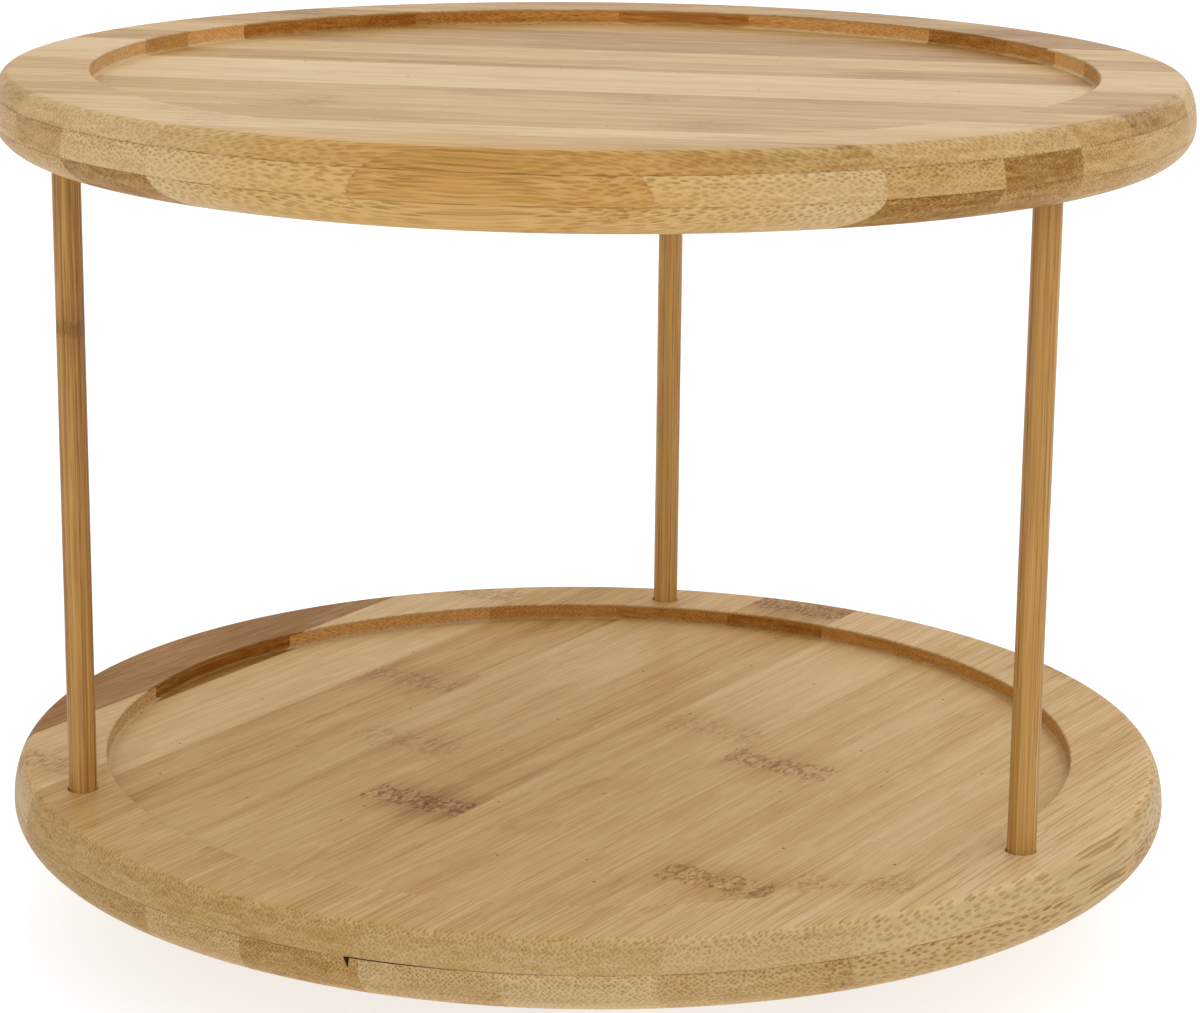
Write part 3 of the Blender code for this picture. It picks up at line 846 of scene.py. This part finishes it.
def make_posts():
    for node, node_height, tone in POSTS:
        low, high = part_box(node)
        centre = (low + high) / 2
        outline = post_outline((high.x - low.x) / 2, low.z, high.z)
        post = lathe(node + "_dowel", outline, ROD_SEGMENTS, centre)
        ripple_side(post, centre)
        finish_shading(post)
        stands_for(post, node, bamboo_dowel(node + "_bamboo", node_height, tone))


def make_base(material):
    low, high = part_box("base_disc")
    inner = high.x - BASE_ROUND
    size = (BASE_ROUND, BASE_ROUND)
    outline = flat(high.z, 0, 30 * MM, inner - RING_GAP, inner - EASE)
    outline += arc((inner, high.z - BASE_ROUND), size, 90, 0, 9)
    outline += arc((inner, low.z + BASE_ROUND), size, 0, -90, 9)
    outline += flat(low.z, inner - EASE, inner - RING_GAP, 30 * MM, 0)
    disc = lathe("base_disc_board", outline, DISC_SEGMENTS)
    bore(disc, [access_place()], ACCESS_BASE_RADIUS, low.z - CUT_PAST, high.z + CUT_PAST)
    bore(disc, screw_places("base"), PILOT_RADIUS, high.z - SCREW_DEPTH, high.z + CUT_PAST, PILOT_SEGMENTS)
    finish_shading(disc)
    stands_for(disc, "base_disc", material)


def rounded_line(line, radius, count=4):
    """A broken line with each inner corner replaced by a short curve."""
    points = [Vector(line[0])]
    for before, corner, after in zip(line, line[1:], line[2:]):
        corner = Vector(corner)
        back = Vector(before) - corner
        on = Vector(after) - corner
        reach = min(radius, back.length / 2.2, on.length / 2.2)
        start = corner + back.normalized() * reach
        end = corner + on.normalized() * reach
        for i in range(count + 1):
            t = i / count
            points.append(start * (1 - t) ** 2 + corner * 2 * t * (1 - t) + end * t ** 2)
    points.append(Vector(line[-1]))
    return points


def sheet_section(line, height):
    """Closed half section of a pressed sheet: its middle line, bent at the corners, with both faces."""
    points = rounded_line(line, SHEET_BEND)
    sides = ([], [])
    for i, point in enumerate(points):
        run = (points[min(i + 1, len(points) - 1)] - points[max(i - 1, 0)]).normalized()
        normal = Vector((-run.y, run.x)) * (SHEET / 2)
        sides[0].append(point + normal)
        sides[1].append(point - normal)
    outline = sides[0] + list(reversed(sides[1]))
    return [(point.x, point.y + height) for point in outline]


def groove(side):
    """Two pressed ridges that guide the balls between them. side is +1 for up and -1 for down."""
    line = []
    for sign, offsets in ((1, reversed(RIDGE_OFFSETS)), (-1, RIDGE_OFFSETS)):
        for offset in offsets:
            is_crest = offset in RIDGE_OFFSETS[1:3]
            line.append((BALL_CIRCLE + sign * offset, side * RIDGE_HEIGHT if is_crest else 0.0))
    return line


def make_plate(node, name, line, height, holes, material):
    """Presses a plate from its middle line. holes are groups of (places, radius)."""
    plate = lathe(name, sheet_section(line, height), PLATE_SEGMENTS, is_closed=True)
    for places, radius in holes:
        bore(plate, places, radius, height - CUT_PAST, height + CUT_PAST, SMALL_SEGMENTS)
    finish_shading(plate)
    stands_for(plate, node, material)


def make_lower_plate(material):
    low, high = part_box("bearing_lower_plate")
    height = low.z + SHEET / 2
    flare = high.z - SHEET / 2 - height
    line = [(high.x, 0)] + groove(1)
    line += [(HUB_RADIUS + HUB_BEND, 0), (HUB_RADIUS, HUB_BEND)]
    line += [(HUB_RADIUS, flare - HUB_BEND), (HUB_RADIUS + HUB_BEND, flare), (HUB_FLARE, flare)]
    holes = ((screw_places("base"), PLATE_HOLE_RADIUS), ([access_place()], ACCESS_PLATE_RADIUS))
    make_plate("bearing_lower_plate", "lower_plate_pressing", line, height, holes, material)


def make_upper_plate(material):
    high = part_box("bearing_upper_plate")[1]
    height = high.z - SHEET / 2
    line = [(high.x, 0)] + groove(-1)
    line += [(LIP_OUTER + 2 * MM, 0), (LIP_OUTER, -LIP_DROP), (LIP_INNER, -LIP_DROP)]
    holes = ((screw_places("tray"), PLATE_HOLE_RADIUS),)
    make_plate("bearing_upper_plate", "upper_plate_pressing", line, height, holes, material)


def make_cage(balls, material):
    low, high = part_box("ball_cage")
    outer = high.x
    inner = 2 * BALL_CIRCLE - outer
    trim = CAGE_CHAMFER
    outline = [(inner, high.z - trim), (inner + trim, high.z)]
    outline += [(outer - trim, high.z), (outer, high.z - trim)]
    outline += [(outer, low.z + trim), (outer - trim, low.z)]
    outline += [(inner + trim, low.z), (inner, low.z + trim)]
    cage = lathe("ball_cage_ring", outline, DISC_SEGMENTS, is_closed=True)
    pockets = [middle(name) for name in balls]
    bore(cage, pockets, POCKET_RADIUS, low.z - CUT_PAST / 2, high.z + CUT_PAST / 2, SMALL_SEGMENTS)
    finish_shading(cage)
    stands_for(cage, "ball_cage", material)


def make_balls(balls, material):
    for name in balls:
        centre = middle(name)
        outline = arc((0, centre.z), (BALL_RADIUS, BALL_RADIUS), 90, -90, 17)
        ball = lathe(name + "_steel", outline, BALL_SEGMENTS, centre)
        ball.data.shade_smooth()
        stands_for(ball, name, material)


def screw_outline(length):
    """Half section of a pan head screw with its head up and its seat at 0. The thread is closed rings."""
    outline = flat(HEAD_HEIGHT, 0, 1.0 * MM)
    outline += arc((1.6 * MM, HEAD_HEIGHT - 1.1 * MM), (1.2 * MM, 1.1 * MM), 85, 0, 7)
    outline += [(HEAD_RADIUS, HEAD_CHAMFER), (HEAD_RADIUS - HEAD_CHAMFER, 0)]
    outline += [(SHANK_RADIUS, 0), (SHANK_RADIUS, -SHANK_LENGTH)]
    for turn in range(int((length - 3 * MM) / THREAD_PITCH)):
        z = -SHANK_LENGTH - THREAD_PITCH * turn
        outline += [(THREAD_CORE, z - 0.25 * MM), (THREAD_CORE, z - 0.4 * MM), (SHANK_RADIUS, z - 0.65 * MM)]
    outline.append((THREAD_CORE, -length + TIP_LENGTH))
    outline += flat(-length, 0.15 * MM, 0)
    return outline


def cross_slot(screw, place, face):
    """Cuts a cross recess into a screw's head, at the height of its face."""
    length, width, depth = CROSS_SLOT
    for across, along in ((length, width), (width, length)):
        scale = Matrix.Diagonal((across, along, 2 * depth, 1))
        at = Matrix.Translation((place.x, place.y, face)) @ scale
        cutter = add_mesh("slot", lambda shape: bmesh.ops.create_cube(shape, size=1, matrix=at))
        cut_away(screw, cutter, "slot")


def make_screws(material):
    """The base screws have their heads up, and the tray screws have theirs down."""
    for kind, sign in (("base", 1), ("tray", -1)):
        for i in range(1, 5):
            node = f"{kind}_screw_{i}"
            low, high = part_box(node)
            face = high.z if sign > 0 else low.z
            seat = face - sign * HEAD_HEIGHT
            outline = [(r, seat + sign * z) for r, z in screw_outline(high.z - low.z - HEAD_HEIGHT)]
            screw = lathe(node + "_turned", outline, SMALL_SEGMENTS, middle(node))
            cross_slot(screw, middle(node), face)
            finish_shading(screw)
            stands_for(screw, node, material)


def make_feet(material):
    for i in range(1, 7):
        node = f"foot_{i}"
        low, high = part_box(node)
        radius = (high.x - low.x) / 2
        round_centre = (radius - FOOT_SIDE - FOOT_ROUND, low.z + FOOT_ROUND)
        outline = [(0, high.z), (radius - 0.2 * MM, high.z), (radius, high.z - 0.2 * MM)]
        outline.append((radius, high.z - FOOT_SIDE))
        outline += arc(round_centre, (FOOT_ROUND, FOOT_ROUND), 0, -90, 8)
        outline.append((FOOT_DIMPLE_RADIUS, low.z))
        outline += flat(low.z + FOOT_DIMPLE_DEPTH, FOOT_DIMPLE_RADIUS - 0.2 * MM, 0)
        foot = lathe(node + "_rubber", outline, ROD_SEGMENTS, middle(node))
        finish_shading(foot)
        stands_for(foot, node, material)


# ---------------------------------------------------------------- stage, light, camera


def make_stage():
    def build(shape):
        bmesh.ops.create_grid(shape, x_segments=1, y_segments=1, size=FLOOR_REACH)

    floor = add_mesh("floor", build)
    s = Shader("pale_floor")
    s.dress(FLOOR_GREY, 0.6, Emission_Color=WHITE, Emission_Strength=FLOOR_GLOW)
    floor.data.materials.append(s.made)
    floor.location.z = -FLOOR_DROP


def add_sun(name, azimuth, elevation, strength):
    """A broad, even light from one side, with its strength on the same scale as the surroundings'."""
    light = bpy.data.lights.new(name, "SUN")
    light.energy = strength * math.pi
    light.angle = math.radians(SUN_SPREAD)
    obj = bpy.data.objects.new(name, light)
    bpy.context.scene.collection.objects.link(obj)
    obj.rotation_euler = (math.radians(90 - elevation), 0, math.radians(azimuth))


def make_light():
    world = bpy.data.worlds.new("studio")
    bpy.context.scene.world = world
    world.use_nodes = True
    background = world.node_tree.nodes["Background"]
    background.inputs["Color"].default_value = WHITE
    background.inputs["Strength"].default_value = WORLD_STRENGTH
    add_sun("back_light", 170, 36, 0.20)
    add_sun("front_light", 35, 45, 0.18)
    bpy.context.scene.view_settings.view_transform = "Standard"


def make_camera():
    camera = bpy.data.cameras.new("camera")
    camera.sensor_fit = "HORIZONTAL"
    camera.sensor_width = 36
    camera.lens = VIEW_LENS
    camera.clip_start = 0.01
    camera.clip_end = 50
    obj = bpy.data.objects.new("camera", camera)
    bpy.context.scene.collection.objects.link(obj)
    azimuth = math.radians(VIEW_AZIMUTH)
    place = Vector((math.sin(azimuth), -math.cos(azimuth), 0)) * VIEW_DISTANCE
    place.z = VIEW_HEIGHT
    turn = Matrix.Rotation(azimuth - math.radians(VIEW_YAW), 4, "Z")
    tilt = Matrix.Rotation(math.radians(90 - VIEW_PITCH), 4, "X")
    roll = Matrix.Rotation(math.radians(VIEW_ROLL), 4, "Z")
    obj.matrix_world = Matrix.Translation(place) @ turn @ tilt @ roll
    bpy.context.scene.camera = obj


# ---------------------------------------------------------------- the three boards


def recess_of(node, strips, shift, drift=0.0):
    """The tray's recess, with the strips that show on its wall."""
    low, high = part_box(node)
    rim = (high.z - low.z) / MM
    wall_radius = RECESS_RADIUS / MM
    floor_radius = wall_radius - COVE_RADIUS / MM
    return Recess(floor_radius, wall_radius, rim - RECESS_DEPTH / MM, rim, strips, shift, drift)


def lower_tray_bamboo():
    board = Board(
        node="lower_tray",
        turn=23,
        plies=((9.4, LOWER_BOTTOM), (16, LOWER_TOP)),
        width=26.0,
        start=-129.0,
        recess=recess_of("lower_tray", LOWER_WALL, 1.0),
        coarse_from=106,
        gloss=0.04,
        # painted shade on the lower tray's sides, which the upper tray keeps from the light
        edge_shade=(0.82, 0.82, 0.81),
        split=(-26.0, -3.0),
    )
    return bamboo_board(board)


def upper_tray_bamboo():
    board = Board(
        node="upper_tray",
        turn=91,
        plies=((6.1, UPPER_BOTTOM), (11.8, UPPER_MIDDLE), (16, UPPER_TOP)),
        width=17.75,
        start=-142.25,
        fan=0.00038,
        recess=recess_of("upper_tray", UPPER_WALL, -1.0, -0.03),
        amber_from=124,
    )
    return bamboo_board(board)


def base_disc_bamboo():
    board = Board(node="base_disc", turn=40, plies=((4, LOWER_TOP), (8, UPPER_TOP)), width=21, start=-100)
    return bamboo_board(board)


def main():
    make_camera()
    lower = lower_tray_bamboo()
    upper = upper_tray_bamboo()
    base = base_disc_bamboo()
    make_tray("lower_tray", lower)
    make_tray("upper_tray", upper)
    make_posts()
    make_base(base)
    steel = plated_steel()
    make_lower_plate(steel)
    make_upper_plate(steel)
    balls = sorted(name for name in frame["nodes"] if name.startswith("bearing_ball_"))
    make_cage(balls, cage_nylon())
    make_balls(balls, ball_steel())
    make_screws(screw_steel())
    make_feet(foot_rubber())
    make_stage()
    make_light()


main()
